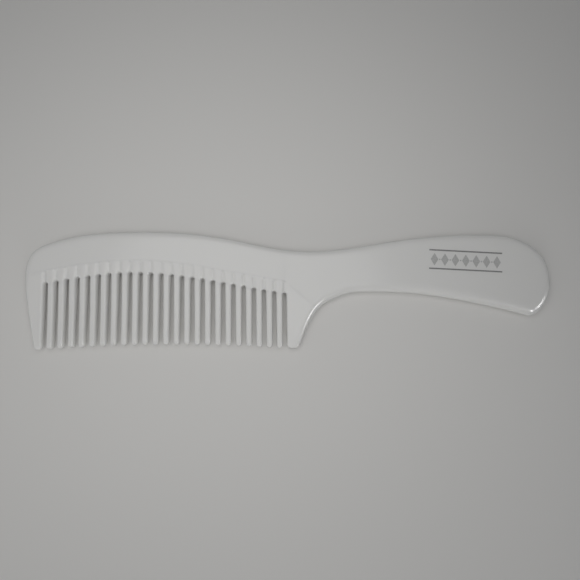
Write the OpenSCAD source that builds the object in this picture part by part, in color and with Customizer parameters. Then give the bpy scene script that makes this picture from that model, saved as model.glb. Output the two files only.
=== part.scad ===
// One-piece moulded hair comb with a curved handle, lying flat: the back (spine) side
// is +Y, the teeth point to -Y, the handle runs to +X and +Z is up.
// The origin is under the middle of the comb, on the surface that it rests on.

/* [Overall size] */
// Length, from the side of the guard tooth to the end of the handle
comb_l = 203; // [195:1:211]
// Width, from the crown of the spine to the tip of the heel tooth
comb_w = 45.2; // [43:0.2:48]
// Thickness of the spine and of the handle
body_t = 4.6; // [4:0.1:6]

/* [Body edges] */
// How far the rounding of the handle and spine reaches in from their edges
edge_reach = 3.4; // [2:0.1:3.8]
// How far the rounding reaches in at the tips of the guard and heel teeth
tip_edge_reach = 1.1; // [0.6:0.1:1.3]

/* [Teeth] */
// Number of regular teeth between the guard tooth and the heel tooth
tooth_count = 23; // [20:1:23]
// Distance between the middles of neighbouring gaps
pitch = 3.9; // [3.6:0.05:3.95]
// Width of a gap at its closed end
gap_w = 1.25; // [1:0.05:1.7]
// How much narrower a tooth is at its tip than at its root
tooth_taper = 0.3; // [0:0.05:0.6]
// How much narrower a tooth is at its two faces than at its middle
tooth_bevel = 0.6; // [0:0.05:0.8]
// Thickness of a tooth at its tip
tip_t = 1.7; // [1.2:0.1:2.4]
// Length of the rounded end of a tooth
tip_round = 1.2; // [0.6:0.1:2]
// Height of the sloping band between the spine and the closed ends of the gaps
root_band = 4.7; // [3.5:0.1:5.5]

/* [Printed panel] */
// Length of the two printed rules on the handle
rule_l = 29; // [20:0.2:32]
// Width of a printed rule
rule_w = 0.55; // [0.3:0.05:1]
// Distance between the two rules
rule_gap = 7.3; // [5:0.05:8]
// Tilt of the printed panel, in degrees
panel_tilt = -3.25; // [-6:0.05:0]
// Number of lozenges between the rules
lozenge_count = 7; // [3:2:7]
// Thickness of the ink
ink_t = 0.05; // [0.03:0.01:0.1]

/* [Hidden] */
half_l = comb_l / 2;
half_w = comb_w / 2;
mid_z = body_t / 2;
gap_r = gap_w / 2;

// Middle of the first gap, beside the guard tooth, and of the last, beside the heel
first_gap_x = -half_l + 8;
last_gap_x = first_gap_x + tooth_count * pitch;

// Steps from the edge's widest line to a flat face, and steps between two outline knots
rim_steps = 4;
path_steps = 6;

// Outline knots: [x, y, heading in degrees], clockwise from the guard tooth's shoulder.
back_knots = [
  [-half_l, 6.2, 90],
  [-half_l + 2.4, half_w - 8, 53],
  [-half_l + 9.2, half_w - 4, 19],
  [-57, half_w, 0],
  [-24, half_w - 3.1, -11.5],
  [last_gap_x, half_w - 7.1, -8],
];
handle_knots = [
  [last_gap_x, half_w - 7.1, -8],
  [6.4, half_w - 7.9, 0],
  [36, half_w - 4.5, 9],
  [half_l - 28.5, half_w - 1.5, 0],
  [half_l - 12, half_w - 3.5, -21],
  [half_l - 3.3, half_w - 9.3, -50],
  [half_l, 2.6, -90],
  [half_l - 6, -half_w + 12.5, -142],
  [half_l - 10.3, -half_w + 11.6, -196],
  [57.3, -3.4, -189.5],
  [29.7, -1.25, -180],
  [18, -2.6, -157],
  [9, -7.9, -131],
];
heel_knots = [
  [9, -7.9, -131],
  [5.3, -13.4, -116],
  [1.8, -half_w + tip_round, -110],
];
guard_knots = [
  [-half_l, 6.2, -90],
  [-half_l + 4.2, -half_w + 1.9, -79],
];

// Colours
plastic_colour = "#e6e5e1";
rule_colour = "#5d5e60";
ornament_colour = "#a5a6a7";

// Middle of the printed panel
panel_pos = [half_l - 34.2, 10.4];
lozenge_w = 3;
lozenge_h = 4.9;
dot_r = 0.3;

function tooth_name(k) = str("tooth_", k < 10 ? "0" : "", k);

// ---- curves ----

function mix(a, b, t) = a + (b - a) * t;
function direction(a) = [cos(a), sin(a)];
function xy(p) = [p[0], p[1]];

// Length of a Bezier handle that makes the curve between two knots close to an arc
function reach_between(a, b) =
  norm(xy(b) - xy(a)) / (3 * pow(cos((b[2] - a[2]) / 4), 2));

// The four control points between two knots
function controls(a, b) = [
  xy(a),
  xy(a) + direction(a[2]) * reach_between(a, b),
  xy(b) - direction(b[2]) * reach_between(a, b),
  xy(b),
];
function bezier(c, t) =
  c[0] * pow(1 - t, 3) + c[1] * 3 * t * pow(1 - t, 2) + c[2] * 3 * t * t * (1 - t) + c[3] * t * t * t;
function bezier_slope(c, t) =
  (c[1] - c[0]) * pow(1 - t, 2) + (c[2] - c[1]) * 2 * t * (1 - t) + (c[3] - c[2]) * t * t;

// One sample of a path: [point, unit vector to its right, which is into the body]
function sample(a, b, t) =
  let (c = controls(a, b), d = bezier_slope(c, t)) [bezier(c, t), [d[1], -d[0]] / norm(d)];
function path(knots, steps) = concat(
  [
    for (i = [0 : len(knots) - 2])
      for (s = [0 : steps - 1])
        sample(knots[i], knots[i + 1], s / steps),
  ],
  [sample(knots[len(knots) - 2], knots[len(knots) - 1], 1)]
);

// A point on a path by its place along it, from 0 to 1
function along(knots, t) =
  let (n = len(knots) - 1, i = min(n - 1, floor(t * n))) sample(knots[i], knots[i + 1], t * n - i);

// Curve of the gaps' closed ends, highest under the crown of the spine
gap_arch = [-62, 6.85];
gap_left = [-93.7, 3.1];
gap_right = [-3.9, -1.5];
function hermite(a, b, slope, t) =
  mix(a[1], b[1], t * t * (3 - 2 * t)) + slope * (b[0] - a[0]) * t * t * (t - 1);
function gap_y(x) =
  x < gap_arch[0]
  ? hermite(gap_arch, gap_left, 0.17, (x - gap_arch[0]) / (gap_left[0] - gap_arch[0]))
  : hermite(gap_arch, gap_right, -0.16, (x - gap_arch[0]) / (gap_right[0] - gap_arch[0]));

// Line of the tooth tips, a shallow curve that is highest in its middle
tip_mid_x = -54.4;
tip_sag = 0.00077;
function tip_y(x) = -half_w + 1.95 - tip_sag * pow(x - tip_mid_x, 2);

// The gaps are numbered from 1; tooth k stands between gap k and gap k + 1
function gap_x(k) = first_gap_x + (k - 1) * pitch;
function crease(k) = [gap_x(k), gap_y(gap_x(k)) + root_band];

// Half thickness of the tapering tooth field at a height y, under the crease at x
function half_t(x, y) =
  let (top = gap_y(x) + root_band)
  mix(body_t, tip_t, (top - y) / (top - tip_y(x))) / 2;

// ---- solids ----

// Triangles over a ring of n points, in rungs from point i across to point n - 1 - i
function ladder(n) = [
  for (i = [0 : ceil(n / 2) - 2])
    each i + 1 == n - 2 - i
      ? [[i, i + 1, i + 2]]
      : [[i, i + 1, n - 1 - i], [i + 1, n - 2 - i, n - 1 - i]],
];

// Joins closed rings of points one after the other and closes the two ends
module skin(rings) {
  n = len(rings[0]);
  last = len(rings) - 1;
  sides = [
    for (i = [0 : last - 1])
      for (j = [0 : n - 1])
        let (k = (j + 1) % n, a = i * n, b = a + n)
          each [[a + j, b + j, b + k], [a + j, b + k, a + k]],
  ];
  ends = [
    for (t = ladder(n))
      each [t, [last * n + t[2], last * n + t[1], last * n + t[0]]],
  ];
  polyhedron(points = [for (ring = rings) each ring], faces = concat(ends, sides), convexity = 8);
}

// Rounded edge at one place: points from the lower face to the upper face.
// inward is the way into the body, scaled where the cut is oblique.
function rim(at, inward, reach, half) = [
  for (j = [-rim_steps : rim_steps])
    let (a = 90 * j / rim_steps, p = at + inward * reach * (1 - cos(a)))
      [p[0], p[1], mid_z + half * sin(a)],
];
// A straight cut at one place, with the same number of points as a rim
function cut(at) = rim(at, [0, 0], 0, mid_z);
// An upright edge at one place, from the upper face to the lower face
function upright(at, half) = [[at[0], at[1], mid_z + half], [at[0], at[1], mid_z - half]];

// Turns a clockwise loop of rims into level rings, from the upper face to the lower face
function levels(rims) = [for (j = [2 * rim_steps : -1 : 0]) [for (r = rims) r[j]]];
module plate(rims) {
  skin(levels(rims));
}

// Direction of a cut, scaled so that the rounding's depth square to the edge stays the same
function cut_inward(at, to, normal) =
  let (u = (to - at) / norm(to - at)) u / (u * normal);

// Rims along a path whose two ends lie on straight cuts towards start_to and end_to
function edge_rims(samples, start_to, end_to) =
  let (last = len(samples) - 1) [
    for (i = [0 : last])
      let (
        at = samples[i][0],
        normal = samples[i][1],
        inward = i == 0 ? cut_inward(at, start_to, normal)
          : i == last ? cut_inward(at, end_to, normal) : normal
      )
        rim(at, inward, edge_reach, mid_z),
  ];

// The back has one sample for each gap, across from the gap's place on the crease
module spine() {
  back = [for (i = [0 : tooth_count]) along(back_knots, i / tooth_count)];
  crease_line = [for (k = [tooth_count + 1 : -1 : 1]) crease(k)];
  color(plastic_colour)
    plate(concat(
      edge_rims(back, crease(1), crease(tooth_count + 1)),
      [for (p = crease_line) cut(p)]
    ));
}

module handle() {
  edge = path(handle_knots, path_steps);
  corner = crease(tooth_count + 1);
  color(plastic_colour)
    plate(concat(edge_rims(edge, corner, corner), [cut(corner)]));
}

// Sloping band from the spine's crease down to the gaps' closed ends and the tooth roots
fillet_angles = [0, 30, 60, 90];
function bar_ring(k, u, y) =
  let (
    top = mix(crease(k), crease(k + 1), u),
    half = half_t(top[0], y)
  ) [
    [top[0], top[1], 0],
    [top[0], top[1], body_t],
    [top[0], y, mid_z + half],
    [top[0], y, mid_z - half],
  ];
module tooth_bar() {
  right_halves = [
    for (k = [1 : tooth_count])
      [for (a = fillet_angles) bar_ring(k, gap_r * sin(a) / pitch, gap_y(gap_x(k)) - gap_r * (1 - cos(a)))],
  ];
  left_halves = [
    for (k = [1 : tooth_count])
      [
        for (a = [90, 60, 30])
          bar_ring(k, 1 - gap_r * sin(a) / pitch, gap_y(gap_x(k + 1)) - gap_r * (1 - cos(a))),
      ],
  ];
  end_ring = bar_ring(tooth_count, 1, gap_y(last_gap_x));
  color(plastic_colour)
    skin(concat(
      [for (k = [0 : tooth_count - 1]) each concat(right_halves[k], left_halves[k])],
      [end_ring]
    ));
}

// One side of a tooth's section, widest at half its thickness
flank_levels = [-1, 0, 1];
function flank(x, y, half, bevel) = [
  for (s = flank_levels) [x - bevel * s * s, y, mid_z + half * s],
];
function reversed(list) = [for (i = [len(list) - 1 : -1 : 0]) list[i]];

// Places along a tooth from its root (0) to where its rounded end begins (1), and the
// angles of that rounded end
shank_places = [0, 0.08, 0.3, 0.65, 1];
tip_angles = [25, 45, 62, 76];

// Section of a tooth between the left and right points of its root
function tooth_ring(root_l, root_r, t, end_angle) =
  let (
    x = (root_l[0] + root_r[0]) / 2,
    round_y = tip_y(x) + tip_round,
    drop = tip_round * sin(end_angle) / sin(76),
    y_l = mix(root_l[1], round_y, t) - drop,
    y_r = mix(root_r[1], round_y, t) - drop,
    shrink = cos(end_angle),
    w = ((root_r[0] - root_l[0]) - tooth_taper * t) / 2 * shrink,
    half = half_t(x, (y_l + y_r) / 2) * mix(1, shrink, 0.7),
    bevel = tooth_bevel / 2 * max(0.15, min(1, t * 12)) * shrink
  )
    concat(
      [for (p = flank(-w, 0, half, -bevel)) [x + p[0], y_l, p[2]]],
      [for (p = reversed(flank(w, 0, half, bevel))) [x + p[0], y_r, p[2]]]
    );
module tooth(k) {
  root_l = [gap_x(k) + gap_r, gap_y(gap_x(k)) - gap_r];
  root_r = [gap_x(k + 1) - gap_r, gap_y(gap_x(k + 1)) - gap_r];
  color(plastic_colour)
    skin(reversed(concat(
      [for (t = shank_places) tooth_ring(root_l, root_r, t, 0)],
      [for (a = tip_angles) tooth_ring(root_l, root_r, 1, a)]
    )));
}

// The guard and heel teeth: a rounded outer edge on one side, a gap's wall on the other.
// A section runs from the wall's point to the edge's sample. side is +1 where the gap is
// to the left of the tooth, and -1 where it is to the right.
function end_ring(wall_at, edge, side, reach, half, squeeze) =
  let (
    inner = mix(wall_at, (wall_at + edge[0]) / 2, squeeze),
    outer = mix(edge[0], (wall_at + edge[0]) / 2, squeeze),
    inward = cut_inward(edge[0], wall_at, edge[1] * side)
  )
    concat(rim(outer, inward, reach * (1 - squeeze), half), upright(inner, half));

// Wall of the gap from the crease (t = 0) round the gap's closed end and down to the tip
// (t = 1)
wall_places = [0, 0.16, 0.165, 0.175, 0.195, 0.35, 0.6, 0.85, 1];
function gap_wall(k, side) =
  let (x = gap_x(k), y = gap_y(x), low = tip_y(x) + tip_round)
    concat(
      [crease(k)],
      [for (a = fillet_angles) [x + side * gap_r * sin(a), y - gap_r * (1 - cos(a))]],
      [
        for (t = [0.25, 0.5, 0.75, 1])
          [x + side * (gap_r + tooth_taper / 2 * t), mix(y - gap_r, low, t)],
      ]
    );
module end_tooth(k, side, knots) {
  walls = gap_wall(k, side);
  last = len(walls) - 1;
  shank = [
    for (i = [0 : last])
      let (t = wall_places[i], edge = along(knots, t))
        end_ring(walls[i], edge, side, mix(edge_reach, tip_edge_reach, t), half_t(walls[i][0], walls[i][1]), 0),
  ];
  tip = [
    for (a = tip_angles)
      let (
        drop = [0, -tip_round * sin(a) / sin(76)],
        edge = along(knots, 1),
        half = half_t(walls[last][0], walls[last][1]) * mix(1, cos(a), 0.7)
      )
        end_ring(walls[last] + drop, [edge[0] + drop, edge[1]], side, tip_edge_reach, half, 1 - cos(a)),
  ];
  rings = concat(shank, tip);
  skin(side > 0 ? rings : reversed(rings));
}
module guard_tooth() {
  color(plastic_colour)
    end_tooth(1, -1, guard_knots);
}
module heel_tooth() {
  color(plastic_colour)
    end_tooth(tooth_count + 1, 1, heel_knots);
}

// ---- printed panel ----

module on_panel() {
  translate([panel_pos[0], panel_pos[1], body_t])
    rotate(panel_tilt)
      linear_extrude(ink_t)
        children();
}
module rule(side) {
  color(rule_colour)
    on_panel()
      translate([0, side * rule_gap / 2])
        square([rule_l, rule_w], center = true);
}
module print_rule_upper() {
  rule(1);
}
module print_rule_lower() {
  rule(-1);
}
module lozenge() {
  polygon([[-lozenge_w / 2, 0], [0, lozenge_h / 2], [lozenge_w / 2, 0], [0, -lozenge_h / 2]]);
}
module print_ornament() {
  step = rule_l / lozenge_count;
  color(ornament_colour)
    on_panel() {
      for (i = [0 : lozenge_count - 1])
        translate([(i - (lozenge_count - 1) / 2) * step, 0])
          lozenge();
      for (i = [1 : lozenge_count - 1])
        translate([(i - lozenge_count / 2) * step, 0])
          circle(dot_r, $fn = 24);
    }
}

handle();
spine();
tooth_bar();
guard_tooth();
heel_tooth();
for (k = [1 : tooth_count]) tooth(k);
print_rule_upper();
print_rule_lower();
print_ornament();
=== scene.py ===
"""Looks of the one-piece moulded hair comb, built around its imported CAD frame.

The comb is one smooth skin: a height over the middle plane, mirrored below it. Its points are
shared across the whole comb, so that shading runs on across the cuts between the pieces.
"""

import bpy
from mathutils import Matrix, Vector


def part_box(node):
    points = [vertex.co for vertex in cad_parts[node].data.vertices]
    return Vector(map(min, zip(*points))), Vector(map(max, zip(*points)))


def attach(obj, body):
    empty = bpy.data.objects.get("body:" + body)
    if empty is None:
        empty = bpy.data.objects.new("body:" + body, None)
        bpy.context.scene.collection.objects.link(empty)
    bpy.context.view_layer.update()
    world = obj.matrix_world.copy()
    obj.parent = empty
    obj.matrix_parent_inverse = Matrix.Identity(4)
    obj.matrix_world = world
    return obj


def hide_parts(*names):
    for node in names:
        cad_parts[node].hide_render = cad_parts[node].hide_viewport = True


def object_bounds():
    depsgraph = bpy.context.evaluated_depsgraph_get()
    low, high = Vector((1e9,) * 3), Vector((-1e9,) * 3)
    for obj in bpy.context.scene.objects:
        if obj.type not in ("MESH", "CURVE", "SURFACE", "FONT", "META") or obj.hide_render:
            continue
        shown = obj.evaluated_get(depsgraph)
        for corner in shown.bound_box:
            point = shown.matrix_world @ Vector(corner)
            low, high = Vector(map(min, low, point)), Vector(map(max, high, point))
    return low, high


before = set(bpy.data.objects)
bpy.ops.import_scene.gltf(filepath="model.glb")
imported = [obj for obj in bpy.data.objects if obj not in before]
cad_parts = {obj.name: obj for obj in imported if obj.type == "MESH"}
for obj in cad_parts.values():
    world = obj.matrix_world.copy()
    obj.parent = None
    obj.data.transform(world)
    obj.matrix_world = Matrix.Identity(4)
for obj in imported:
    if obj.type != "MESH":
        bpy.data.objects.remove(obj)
cad_bounds = [list(corner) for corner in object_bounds()]

import math

import bpy
import numpy as np
from mathutils import Vector
from mathutils.geometry import delaunay_2d_cdt

MM = 0.001

# ---- sizes from the frame, in mm ----


def box_mm(node):
    lo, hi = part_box(node)
    return np.array(lo) / MM, np.array(hi) / MM


TEETH = sorted(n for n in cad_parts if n.startswith("tooth_") and n[6:].isdigit())
BAR_LO, BAR_HI = box_mm("tooth_bar")
HALF_L = (cad_bounds[1][0] - cad_bounds[0][0]) / 2 / MM
HALF_W = 22.6
BODY_T = box_mm("handle")[1][2]
HALF_T = BODY_T / 2
TIP_HALF_T = 0.85
GAP_R = box_mm(TEETH[0])[0][0] - BAR_LO[0]
GAPS = np.linspace(BAR_LO[0], BAR_HI[0], len(TEETH) + 1)
TAPER = 0.3
TIP_ROUND = 1.2
ROOT_BAND = 4.7
WALL_REACH = 0.8
# Parting ridge round the middle of the edges
RIDGE = 0.03
# Marks in the faces: the step at the crease, the swell of each root, the valley over each gap
CREASE_STEP = 0.06
RIB_SWING = 0.05
VALLEY_DEPTH = 0.28
VALLEY_SIGMA = 0.36

# Outline, clockwise from the guard tooth's tip: x, y, heading, reach of the edge's rounding
OUTLINE = [
    (-HALF_L + 4.2, -HALF_W + 1.9, 101, 1.1),
    (-HALF_L, 6.2, 90, 3.0),
    (-HALF_L + 2.4, HALF_W - 8, 53, 2.8),
    (-HALF_L + 9.2, HALF_W - 4, 19, 2.7),
    (-57, HALF_W, 0, 2.6),
    (-24, HALF_W - 3.1, -11.5, 2.6),
    (GAPS[-1], HALF_W - 7.1, -8, 2.6),
    (6.4, HALF_W - 7.9, 0, 2.6),
    (36, HALF_W - 4.5, 9, 2.6),
    (HALF_L - 28.5, HALF_W - 1.5, 0, 2.7),
    (HALF_L - 12, HALF_W - 3.5, -21, 2.9),
    (HALF_L - 3.3, HALF_W - 9.3, -50, 3.1),
    (HALF_L, 2.6, -90, 3.3),
    (HALF_L - 6, -HALF_W + 12.5, -142, 3.6),
    (HALF_L - 10.3, -HALF_W + 11.6, -196, 3.6),
    (57.3, -3.4, -189.5, 3.6),
    (29.7, -1.25, -180, 3.6),
    (18, -2.6, -157, 3.5),
    (9, -7.9, -131, 3.4),
    (5.3, -13.4, -116, 2.6),
    (1.8, -HALF_W + TIP_ROUND, -110, 1.3),
]
# Places on the outline, as indices into it
AT_NOSE = 1
AT_NECK = 7
AT_HEEL_CUT = 18
AT_END = len(OUTLINE) - 1


def direction(degrees):
    a = math.radians(degrees)
    return np.array([math.cos(a), math.sin(a)])


def edge(s):
    """Point of the outline, the way into the body and the rounding's reach, at place s."""
    i = min(int(s), AT_END - 1)
    t = s - i
    a, b = OUTLINE[i], OUTLINE[i + 1]
    p0, p3 = np.array(a[:2]), np.array(b[:2])
    pull = np.linalg.norm(p3 - p0) / (3 * math.cos(math.radians((b[2] - a[2]) / 4)) ** 2)
    p1, p2 = p0 + pull * direction(a[2]), p3 - pull * direction(b[2])
    u = 1 - t
    p = p0 * u**3 + p1 * 3 * t * u * u + p2 * 3 * t * t * u + p3 * t**3
    d = (p1 - p0) * u * u + (p2 - p1) * 2 * t * u + (p3 - p2) * t * t
    d /= np.linalg.norm(d)
    ease = t * t * (3 - 2 * t)
    return p, np.array([d[1], -d[0]]), a[3] + (b[3] - a[3]) * ease


def inner(s):
    p, n, reach = edge(s)
    return p + n * reach


def place_where(s0, s1, test):
    """The place between s0 and s1 where test(s) changes sign."""
    sign = test(s0) > 0
    for _ in range(40):
        mid = (s0 + s1) / 2
        if (test(mid) > 0) == sign:
            s0 = mid
        else:
            s1 = mid
    return (s0 + s1) / 2


def places(s0, s1, step):
    """Places from s0 to s1, about step mm apart."""
    n = 60
    fine = np.linspace(s0, s1, n + 1)
    pts = np.array([edge(s)[0] for s in fine])
    run = np.concatenate([[0], np.cumsum(np.linalg.norm(np.diff(pts, axis=0), axis=1))])
    count = max(2, int(math.ceil(run[-1] / step)))
    return list(np.interp(np.linspace(0, run[-1], count + 1), run, fine))


# ---- height of the faces over the middle plane ----

# Top of the gaps' arch, and its left and right ends
ARCH, LEFT, RIGHT = (-62, 6.85), (-93.7, 3.1), (-3.9, -1.5)
LEFT_SLOPE, RIGHT_SLOPE = 0.17, -0.16
TIP_ROW_Y, TIP_ROW_X, TIP_ROW_BEND = 1.95, 54.4, 0.00077


def hermite(a, b, slope, t):
    """Height between point a, which is level, and point b, which has a slope, t of the way."""
    s = t * t * (3 - 2 * t)
    return a[1] + (b[1] - a[1]) * s + slope * (b[0] - a[0]) * t * t * (t - 1)


def gap_y(x):
    """Curve of the gaps' closed ends."""
    if x < ARCH[0]:
        return hermite(ARCH, LEFT, LEFT_SLOPE, (x - ARCH[0]) / (LEFT[0] - ARCH[0]))
    return hermite(ARCH, RIGHT, RIGHT_SLOPE, (x - ARCH[0]) / (RIGHT[0] - ARCH[0]))


def crease_y(x):
    """Line where the tapering tooth field begins. It drops away beside the last gap."""
    if x <= GAPS[-1]:
        return gap_y(max(x, GAPS[0] - 4)) + ROOT_BAND
    return gap_y(GAPS[-1]) + ROOT_BAND - 0.9 * (x - GAPS[-1])


def tip_y(x):
    """Curve of the teeth's tips."""
    return -HALF_W + TIP_ROW_Y - TIP_ROW_BEND * (x + TIP_ROW_X) ** 2


def softplus(d, width):
    """0 well below 0 and d well above, with a bend width mm wide."""
    return width * math.log1p(math.exp(min(d / width, 50)))


def step_up(d, width):
    """0 well below, 1 well above, width mm wide."""
    t = min(max(d / width + 0.5, 0), 1)
    return t * t * (3 - 2 * t)


def half_at(x, y):
    """Half of the thickness at a place on the faces."""
    top = crease_y(x)
    below = top - y
    h = HALF_T - (HALF_T - TIP_HALF_T) / max(top - tip_y(x), 8) * softplus(below, 0.35)
    in_field = step_up(x - GAPS[0] + 2.5, 3) * step_up(GAPS[-1] + 2.5 - x, 3)
    h -= CREASE_STEP * step_up(below, 0.5) * in_field
    pitch = GAPS[1] - GAPS[0]
    off = (x - GAPS[0] + pitch / 2) % pitch - pitch / 2
    if GAPS[0] - pitch / 2 < x < GAPS[-1] + pitch / 2:
        rib = RIB_SWING * (1 + math.cos(2 * math.pi * off / pitch))
        groove = VALLEY_DEPTH * math.exp(-((off / VALLEY_SIGMA) ** 2) / 2)
        h -= (rib + groove) * step_up(below - 0.45, 0.9) * step_up(y - gap_y(x) + 3.6, 4)
    return h


# ---- the skin's upper half ----

LAYERS = 7


SQUARENESS = 2.3


def profile(reach, h):
    """The rounded edge from its widest line, as (way in, height) from the edge."""
    pts = [(0.0, 0.0)]
    for j in range(LAYERS):
        a = math.radians(90) * (j + (0.35 if j == 0 else 0)) / (LAYERS - 1)
        inset = RIDGE + (reach - RIDGE) * (1 - math.cos(a) ** (2 / SQUARENESS))
        pts.append((inset, h * math.sin(a) ** (2 / SQUARENESS)))
    pts[-1] = (reach, h)
    return pts


class Skin:
    """Points and faces of the upper half, with the faces filed by piece."""

    def __init__(self):
        self.points, self.index, self.faces = [], {}, {}

    def point(self, x, y, z):
        key = tuple(int(round(v * 1000 + 0.2371)) for v in (x, y, z))
        if key not in self.index:
            self.index[key] = len(self.points)
            self.points.append((x, y, z))
        return self.index[key]

    def top(self, xy):
        return self.point(xy[0], xy[1], half_at(xy[0], xy[1]))

    def face(self, piece, corners):
        loop = [c for i, c in enumerate(corners) if c != corners[i - 1]]
        if len(set(loop)) < 3:
            return
        area = 0
        for a, b in zip(loop, loop[1:] + loop[:1]):
            area += self.points[a][0] * self.points[b][1] - self.points[b][0] * self.points[a][1]
        if area < 0:
            loop.reverse()
        self.faces.setdefault(piece, []).append(tuple(loop))

    def grid(self, piece, rows):
        for low, high in zip(rows, rows[1:]):
            for j in range(len(low) - 1):
                self.face(piece, [low[j], low[j + 1], high[j + 1], high[j]])

    def patch(self, piece, loop, spacing):
        """Fills a loop of plan points with a web of triangles."""
        pts = [tuple(p) for p in loop]
        arr = np.array(pts)
        lo, hi = arr.min(0), arr.max(0)
        row_step = spacing * math.sqrt(0.75)
        inside = []
        for r in range(int((hi[1] - lo[1]) / row_step) + 1):
            y = lo[1] + (r + 0.5) * row_step
            for c in range(int((hi[0] - lo[0]) / spacing) + 2):
                x = lo[0] + (c + 0.5 * (r % 2)) * spacing
                if in_loop(arr, x, y) and gap_to_loop(arr, x, y) > spacing * 0.45:
                    inside.append((x, y))
        n = len(pts)
        verts = [Vector(p) for p in pts + inside]
        ring = list(range(n))
        got = delaunay_2d_cdt(verts, [], [ring], 1, 1e-6)
        ids = [self.top(v) for v in got[0]]
        for f in got[2]:
            self.face(piece, [ids[v] for v in f])


def in_loop(arr, x, y):
    """Whether a plan point is inside a closed loop."""
    a, b = arr, np.roll(arr, -1, axis=0)
    cross = (a[:, 1] > y) != (b[:, 1] > y)
    with np.errstate(divide="ignore", invalid="ignore"):
        at = a[:, 0] + (y - a[:, 1]) / (b[:, 1] - a[:, 1]) * (b[:, 0] - a[:, 0])
    return bool(np.count_nonzero(cross & (x < at)) % 2)


def gap_to_loop(arr, x, y):
    """Distance from a plan point to a closed loop."""
    a, b = arr, np.roll(arr, -1, axis=0)
    d = b - a
    t = np.clip(((x - a[:, 0]) * d[:, 0] + (y - a[:, 1]) * d[:, 1]) / (d**2).sum(1), 0, 1)
    return float(np.sqrt(((a + d * t[:, None] - (x, y)) ** 2).sum(1).min()))


skin = Skin()


def rim(s):
    """The edge's points from its widest line to the face."""
    p, n, reach = edge(s)
    h = half_at(*(p + n * reach))
    return [skin.point(*(p + n * a), z) for a, z in profile(reach, h)]


def wall(at, way, h):
    """The same for a gap's wall or closed end."""
    return [skin.point(*(at + way * a), z) for a, z in profile(WALL_REACH, h)]


def line(a, b, n):
    return [np.array(a) + (np.array(b) - np.array(a)) * i / n for i in range(n + 1)]


ARC_STEPS = 7
ACROSS = 4
BAR_ROWS = 10
SPINE_ROWS = 9
# Rows gather towards the crease by these powers
BAR_GATHER = 1.35
SPINE_GATHER = 1.4


def arc_points(i, side):
    """Plan points of a gap's closed end and the way into the plastic, from its top down."""
    centre = np.array([GAPS[i], gap_y(GAPS[i]) - GAP_R])
    out = []
    for j in range(ARC_STEPS + 1):
        a = math.radians(90) * j / ARC_STEPS
        way = np.array([side * math.sin(a), math.cos(a)])
        out.append((centre + way * GAP_R, way))
    return out


def closed_end(i, side, piece):
    """One side of a gap's rounded closed end."""
    strips = []
    for at, way in arc_points(i, side):
        strips.append(wall(at, way, half_at(*(at + way * WALL_REACH))))
    skin.grid(piece, strips)


# Tooth field: columns between neighbouring gaps, from the closed ends up to the back
def back_place(x):
    """Place on the back above x."""
    return place_where(AT_NOSE + 0.2, AT_NECK + 0.5, lambda s: inner(s)[0] - x)


def column(foot, s):
    """Plan points from a foot up to the crease, and on up to the back's inner line."""
    head = inner(s)
    fold = np.array([foot[0], crease_y(foot[0])])
    bar = []
    for i in range(BAR_ROWS + 1):
        t = i / BAR_ROWS
        bar.append(foot + (fold - foot) * (1 - (1 - t) ** BAR_GATHER))
    steps = [(i / SPINE_ROWS) ** SPINE_GATHER for i in range(SPINE_ROWS + 1)]
    spine = [fold + (head - fold) * step for step in steps]
    return bar, spine


bar_columns, spine_columns, back_rims = [], [], []
feet = []
for i in range(len(GAPS)):
    left = [(p + w * WALL_REACH) for p, w in arc_points(i, -1)][::-1]
    right = [(p + w * WALL_REACH) for p, w in arc_points(i, 1)]
    if i > 0:
        root = line(feet[-1], left[0], ACROSS)
        feet += root[1:-1] + left[:-1]
    feet += right if i < len(GAPS) - 1 else right[:1]
for foot in feet:
    s = back_place(foot[0])
    bar, spine = column(np.array(foot), s)
    bar_columns.append([skin.top(p) for p in bar])
    spine_columns.append([skin.top(p) for p in spine])
    back_rims.append(rim(s))
skin.grid("tooth_bar", bar_columns)
skin.grid("spine", spine_columns)
skin.grid("spine", back_rims)
for i in range(len(GAPS)):
    closed_end(i, -1, "tooth_bar" if i > 0 else "guard_tooth")
    closed_end(i, 1, "tooth_bar" if i < len(GAPS) - 1 else "heel_tooth")

# Nose, above and below the cut to the guard tooth
first_bar, first_spine = column(np.array(feet[0]), back_place(feet[0][0]))
last_bar, last_spine = column(np.array(feet[-1]), back_place(feet[-1][0]))
nose_cut = line(first_spine[0], inner(AT_NOSE), 7)
nose_places = places(AT_NOSE, back_place(feet[0][0]), 0.6)
skin.grid("spine", [rim(s) for s in nose_places])
loop = nose_cut + [inner(s) for s in nose_places[1:-1]] + first_spine[:0:-1]
skin.patch("spine", loop, 0.9)

guard_y = gap_y(GAPS[0]) - GAP_R
guard_root = place_where(0, AT_NOSE, lambda s: inner(s)[1] - guard_y)
guard_arc = [p + w * WALL_REACH for p, w in arc_points(0, -1)]
guard_row = line(inner(guard_root), guard_arc[-1], 6)
shoulder = places(guard_root, AT_NOSE, 0.6)
skin.grid("guard_tooth", [rim(s) for s in shoulder])
loop = (
    guard_row[:-1] + guard_arc[:0:-1] + first_bar[:-1] + nose_cut[:-1]
    + [inner(s) for s in shoulder[:0:-1]]
)
skin.patch("guard_tooth", loop, 0.8)

# Handle, and the heel tooth's root
heel_cut = line(last_spine[0], inner(AT_HEEL_CUT), 12)
handle_places = places(back_place(feet[-1][0]), AT_NECK, 0.8)
for k in range(AT_NECK, AT_HEEL_CUT):
    handle_places += places(k, k + 1, 0.8)[1:]
skin.grid("handle", [rim(s) for s in handle_places])
loop = last_spine[:-1] + [inner(s) for s in handle_places[:-1]] + heel_cut[:0:-1]
skin.patch("handle", loop, 1.1)

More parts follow.
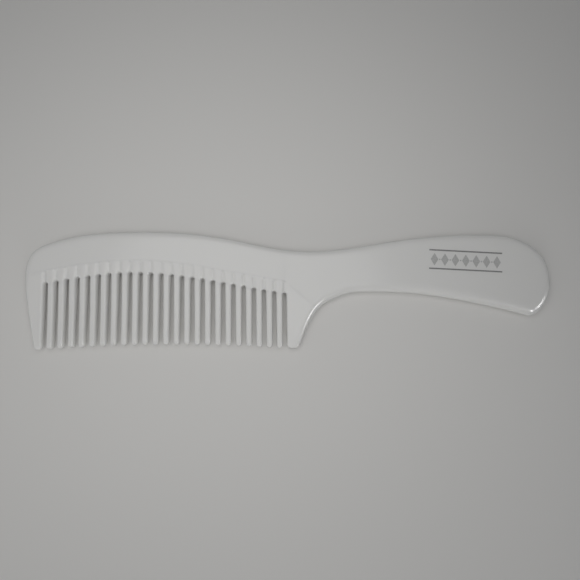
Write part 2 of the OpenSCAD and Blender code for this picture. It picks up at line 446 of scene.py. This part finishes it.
heel_arc = [p + w * WALL_REACH for p, w in arc_points(len(GAPS) - 1, 1)]
heel_row = line(heel_arc[-1], inner(AT_HEEL_CUT), 12)
loop = heel_row[:-1] + heel_cut[:0:-1] + last_bar[::-1][:-1] + heel_arc[:-1]
skin.patch("heel_tooth", loop, 0.9)

# ---- teeth ----

# Parts of the way down a tooth's shank, and angles round its tip
SHANK = [0, 0.03, 0.08, 0.15, 0.25, 0.36, 0.48, 0.6, 0.72, 0.83, 0.92, 1]
TIP_ANGLES = [14, 28, 42, 55, 67, 78]


def lofted(piece, rings, tip):
    """Skin over a tooth's rings, closed at its tip."""
    skin.grid(piece, rings)
    end = skin.point(*tip, 0)
    for a, b in zip(rings[-1], rings[-1][1:]):
        skin.face(piece, [a, b, end])


def section(left, right, reach_l, reach_r, h, shrink, across):
    """Half of a tooth's section between two edge points of one row."""
    mid = (left + right) / 2
    a, b = mid + (left - mid) * shrink, mid + (right - mid) * shrink
    way = (b - a) / np.linalg.norm(b - a)
    pl = [(a + way * d, z) for d, z in profile(reach_l * shrink, h[0])]
    pr = [(b - way * d, z) for d, z in profile(reach_r * shrink, h[-1])]
    top = [
        (pl[-1][0] + (pr[-1][0] - pl[-1][0]) * j / across, h[j])
        for j in range(1, across)
    ]
    return [skin.point(*p, z) for p, z in pl + top + pr[::-1]]


def tip_squash(a):
    """Thickness left at an angle round a tooth's tip."""
    return math.cos(math.radians(a)) ** 0.8


for k in range(len(TEETH)):
    left0 = np.array([GAPS[k] + GAP_R, gap_y(GAPS[k]) - GAP_R])
    right0 = np.array([GAPS[k + 1] - GAP_R, gap_y(GAPS[k + 1]) - GAP_R])
    middle = (left0[0] + right0[0]) / 2
    low = tip_y(middle) + TIP_ROUND
    rings = []
    for t, angle in [(t, 0) for t in SHANK] + [(1, a) for a in TIP_ANGLES]:
        lean = TAPER * t / 2
        drop = TIP_ROUND * math.sin(math.radians(angle))
        left = np.array([left0[0] + lean, left0[1] + (low - left0[1]) * t - drop])
        right = np.array([right0[0] - lean, right0[1] + (low - right0[1]) * t - drop])
        pts = line(left + (WALL_REACH, 0), right - (WALL_REACH, 0), ACROSS)
        heights = [half_at(*p) * tip_squash(angle) for p in pts]
        if t == 0:
            ring = [wall(left, np.array([1, 0]), heights[0])]
            ring += [[skin.top(p) for p in pts[1:-1]]]
            ring += [wall(right, np.array([-1, 0]), heights[-1])[::-1]]
            rings.append([v for part in ring for v in part])
        else:
            shrink = math.cos(math.radians(angle))
            rings.append(section(left, right, WALL_REACH, WALL_REACH, heights, shrink, ACROSS))
    lofted(TEETH[k], rings, (middle, low - TIP_ROUND))


def end_tooth(piece, i, side, s0, s1, row):
    """Guard or heel tooth, between a gap's wall and the outline from s0 to s1."""
    x, y0 = GAPS[i] + side * GAP_R, gap_y(GAPS[i]) - GAP_R
    low = tip_y(GAPS[i]) + TIP_ROUND
    across = len(row) - 1
    rings = []
    for t, angle in [(t, 0) for t in SHANK] + [(1, a) for a in TIP_ANGLES]:
        wall_at = np.array([x + side * TAPER / 2 * t, y0 + (low - y0) * t])
        out, n, reach = edge(s0 + (s1 - s0) * t)
        squash = tip_squash(angle)
        if angle == 0:
            way = np.array([side, 0])
            a = wall_at + way * WALL_REACH
            b = out + n * reach
            pts = line(a, b, across)
            heights = [half_at(*p) for p in pts]
            ring = wall(wall_at, way, heights[0])
            ring += [skin.point(*p, h) for p, h in zip(pts[1:-1], heights[1:-1])]
            ring += [skin.point(*(out + n * d), z) for d, z in profile(reach, heights[-1])][::-1]
        else:
            drop = np.array([0, -TIP_ROUND * math.sin(math.radians(angle))])
            base = line(wall_at + (side * WALL_REACH, 0), out + n * reach, across)
            heights = [half_at(*p) * squash for p in base]
            shrink = math.cos(math.radians(angle))
            ring = section(wall_at + drop, out + drop, WALL_REACH, reach, heights, shrink, across)
        rings.append(ring)
    tip = (wall_at + out) / 2 + (0, -TIP_ROUND)
    lofted(piece, rings, tip)


end_tooth("guard_tooth", 0, -1, guard_root, 0, guard_row)
end_tooth("heel_tooth", len(GAPS) - 1, 1, AT_HEEL_CUT, AT_END, heel_row)

# ---- pieces ----

points = np.array(skin.points)
count = len(points)
on_middle = np.abs(points[:, 2]) < 1e-6
mirror = np.where(on_middle, np.arange(count), np.arange(count) + count)
all_points = np.vstack([points, points * (1, 1, -1)])
placed = (all_points + (0, 0, HALF_T)) * MM


def both_halves(faces):
    """Faces of the upper half and their mirror images below."""
    return faces + [tuple(int(mirror[v]) for v in reversed(f)) for f in faces]


def cut_walls(faces):
    """Upright faces that close a piece along its cuts."""
    edges = {}
    for f in faces:
        for a, b in zip(f, f[1:] + f[:1]):
            edges[(a, b)] = True
    walls = []
    for a, b in edges:
        if (b, a) in edges or (on_middle[a] and on_middle[b]):
            continue
        quad = [b, a, int(mirror[a]), int(mirror[b])]
        walls.append(tuple(v for i, v in enumerate(quad) if v != quad[i - 1]))
    return walls


def make_mesh(name, faces):
    used = sorted({v for f in faces for v in f})
    where = {v: i for i, v in enumerate(used)}
    mesh = bpy.data.meshes.new(name)
    mesh.from_pydata([placed[v] for v in used], [], [[where[v] for v in f] for f in faces])
    mesh.polygons.foreach_set("use_smooth", [True] * len(faces))
    mesh.update()
    return mesh, used


# The whole skin's normals, so that shading runs on across the cuts
whole_faces = [f for piece in sorted(skin.faces) for f in both_halves(skin.faces[piece])]
whole, whole_used = make_mesh("whole", whole_faces)
normals = np.zeros((2 * count, 3))
flat = np.zeros(len(whole.vertices) * 3)
whole.vertex_normals.foreach_get("vector", flat)
normals[whole_used] = flat.reshape(-1, 3)
bpy.data.meshes.remove(whole)


# ---- materials ----

INK_ROUGHNESS = 0.55
PLASTIC_IOR = 1.49


def new_material(name):
    mat = bpy.data.materials.new(name)
    mat.use_nodes = True
    return mat, mat.node_tree.nodes, mat.node_tree.links, mat.node_tree.nodes["Principled BSDF"]


def add(nodes, kind, **inputs):
    node = nodes.new(kind)
    for key, value in inputs.items():
        node.inputs[key.replace("_", " ")].default_value = value
    return node


def map_range(nodes, links, source, lo, hi, to_lo, to_hi):
    node = nodes.new("ShaderNodeMapRange")
    for key, value in zip(("From Min", "From Max", "To Min", "To Max"), (lo, hi, to_lo, to_hi)):
        node.inputs[key].default_value = value
    links.new(source, node.inputs["Value"])
    return node.outputs["Result"]


def moulded_plastic():
    """Glossy white plastic with faint flow marks and orange peel."""
    mat, nodes, links, shader = new_material("moulded_plastic")
    coords = nodes.new("ShaderNodeTexCoord")
    here = coords.outputs["Object"]
    cloud = add(nodes, "ShaderNodeTexNoise", Scale=28.0, Detail=3.0, Roughness=0.55)
    links.new(here, cloud.inputs["Vector"])
    tint = nodes.new("ShaderNodeMix")
    tint.data_type = "RGBA"
    tint.inputs["A"].default_value = (0.785, 0.781, 0.765, 1)
    tint.inputs["B"].default_value = (0.805, 0.801, 0.787, 1)
    links.new(cloud.outputs["Fac"], tint.inputs["Factor"])
    links.new(tint.outputs["Result"], shader.inputs["Base Color"])
    haze = add(nodes, "ShaderNodeTexNoise", Scale=160.0, Detail=4.0, Roughness=0.6)
    links.new(here, haze.inputs["Vector"])
    links.new(
        map_range(nodes, links, haze.outputs["Fac"], 0.3, 0.7, 0.19, 0.24),
        shader.inputs["Roughness"],
    )
    # Flow marks of the moulding, and the fine orange peel of its skin
    flow = nodes.new("ShaderNodeMapping")
    flow.inputs["Scale"].default_value = (14, 60, 20)
    links.new(here, flow.inputs["Vector"])
    waves = add(nodes, "ShaderNodeTexNoise", Scale=1.0, Detail=2.0, Roughness=0.5)
    links.new(flow.outputs["Vector"], waves.inputs["Vector"])
    peel = add(nodes, "ShaderNodeTexNoise", Scale=900.0, Detail=2.0, Roughness=0.5)
    links.new(here, peel.inputs["Vector"])
    slow = nodes.new("ShaderNodeBump")
    slow.inputs["Strength"].default_value = 0.5
    slow.inputs["Distance"].default_value = 0.0001
    links.new(waves.outputs["Fac"], slow.inputs["Height"])
    fast = nodes.new("ShaderNodeBump")
    fast.inputs["Strength"].default_value = 0.5
    fast.inputs["Distance"].default_value = 0.00002
    links.new(peel.outputs["Fac"], fast.inputs["Height"])
    links.new(slow.outputs["Normal"], fast.inputs["Normal"])
    links.new(fast.outputs["Normal"], shader.inputs["Normal"])
    shader.inputs["IOR"].default_value = PLASTIC_IOR
    # White plastic lets some light through near its edges
    shader.inputs["Subsurface Weight"].default_value = 0.25
    shader.inputs["Subsurface Radius"].default_value = (1, 1, 0.9)
    shader.inputs["Subsurface Scale"].default_value = 0.0015
    return mat


def ink(name, colour, worn):
    """Printed ink with fine worn specks."""
    mat, nodes, links, shader = new_material(name)
    coords = nodes.new("ShaderNodeTexCoord")
    speck = add(nodes, "ShaderNodeTexNoise", Scale=2600.0, Detail=3.0, Roughness=0.65)
    links.new(coords.outputs["Object"], speck.inputs["Vector"])
    tint = nodes.new("ShaderNodeMix")
    tint.data_type = "RGBA"
    tint.inputs["A"].default_value = (*colour, 1)
    tint.inputs["B"].default_value = (*worn, 1)
    links.new(
        map_range(nodes, links, speck.outputs["Fac"], 0.42, 0.72, 0, 1),
        tint.inputs["Factor"],
    )
    links.new(tint.outputs["Result"], shader.inputs["Base Color"])
    shader.inputs["Roughness"].default_value = INK_ROUGHNESS
    return mat


plastic = moulded_plastic()
rule_ink = ink("rule_ink", (0.16, 0.16, 0.16), (0.29, 0.29, 0.285))
ornament_ink = ink("ornament_ink", (0.40, 0.40, 0.395), (0.56, 0.56, 0.55))


def finish_piece(name, mesh, material, node):
    """Puts a mesh in the scene in place of a CAD node."""
    obj = bpy.data.objects.new(name, mesh)
    bpy.context.scene.collection.objects.link(obj)
    mesh.materials.append(material)
    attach(obj, "root")
    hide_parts(node)


for node in sorted(skin.faces):
    faces = skin.faces[node]
    mesh, used = make_mesh("comb_" + node, both_halves(faces) + cut_walls(faces))
    mesh.normals_split_custom_set_from_vertices([tuple(n) for n in normals[used]])
    finish_piece("comb_" + node, mesh, plastic, node)

for node, material in (
    ("print_rule_upper", rule_ink),
    ("print_rule_lower", rule_ink),
    ("print_ornament", ornament_ink),
):
    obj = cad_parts[node]
    for slot in obj.material_slots:
        slot.material = material

# ---- floor, lights and camera ----


# A hair below the comb, so that the two faces don't fight
FLOOR_Z = -0.00005
FLOOR_SIZE = 3

floor_mat, _, _, floor_shader = new_material("floor")
floor_shader.inputs["Base Color"].default_value = (0.735, 0.725, 0.706, 1)
floor_shader.inputs["Roughness"].default_value = 0.75
bpy.ops.mesh.primitive_plane_add(size=FLOOR_SIZE, location=(0, 0, FLOOR_Z))
floor = bpy.context.object
floor.name = "floor"
floor.data.materials.append(floor_mat)


def area_light(name, at, to, size, power, colour):
    """A round soft light, aimed at a point. The camera doesn't see it."""
    data = bpy.data.lights.new(name, "AREA")
    data.shape = "DISK"
    data.size = size
    data.energy = power
    data.color = colour
    obj = bpy.data.objects.new(name, data)
    bpy.context.scene.collection.objects.link(obj)
    obj.visible_camera = False
    obj.location = at
    obj.rotation_euler = (Vector(to) - Vector(at)).to_track_quat("-Z", "Y").to_euler()
    return obj


WARM_WHITE = (1, 0.995, 0.98)
area_light("soft_above", (-0.026, 0.012, 0.165), (-0.026, 0.012, 0), 0.2, 0.115, WARM_WHITE)
area_light("soft_left", (-0.30, -0.12, 0.18), (-0.05, 0, 0), 0.22, 0.11, WARM_WHITE)
area_light("soft_front", (0.03, -0.34, 0.07), (0.03, 0, 0), 0.2, 0.15, WARM_WHITE)
area_light("soft_right", (0.40, -0.06, 0.08), (0.10, 0, 0), 0.16, 0.035, WARM_WHITE)
# Two lights only for the highlights at the heel and at the handle's end
for glint in (
    area_light("glint_right", (0.33, -0.235, 0.30), (0.02, -0.01, 0), 0.075, 0.75, (1, 1, 1)),
    area_light("glint_end", (0.474, -0.107, 0.23), (0.09, 0, 0), 0.09, 0.5, (1, 1, 1)),
):
    glint.visible_diffuse = False

world = bpy.data.worlds.new("studio")
bpy.context.scene.world = world
world.use_nodes = True
background = world.node_tree.nodes["Background"]
background.inputs["Color"].default_value = (0.95, 0.97, 1, 1)
background.inputs["Strength"].default_value = 0.14
bpy.context.scene.view_settings.view_transform = "Standard"
bpy.context.scene.view_settings.gamma = 1.15

camera_data = bpy.data.cameras.new("camera")
camera_data.lens = 26.78
camera_data.clip_start = 0.005
camera = bpy.data.objects.new("camera", camera_data)
bpy.context.scene.collection.objects.link(camera)
CAMERA_AT = Vector((-8.7, -16.2, 168.5)) * MM
CAMERA_TO = Vector((-1.6, -0.3, 2.7)) * MM
CAMERA_UP = Vector((0.0087, 0.9954, 0.0958))
back = (CAMERA_AT - CAMERA_TO).normalized()
right = CAMERA_UP.cross(back).normalized()
up = back.cross(right)
matrix = camera.matrix_world.copy()
for row in range(3):
    matrix[row] = (right[row], up[row], back[row], CAMERA_AT[row])
camera.matrix_world = matrix
bpy.context.scene.camera = camera
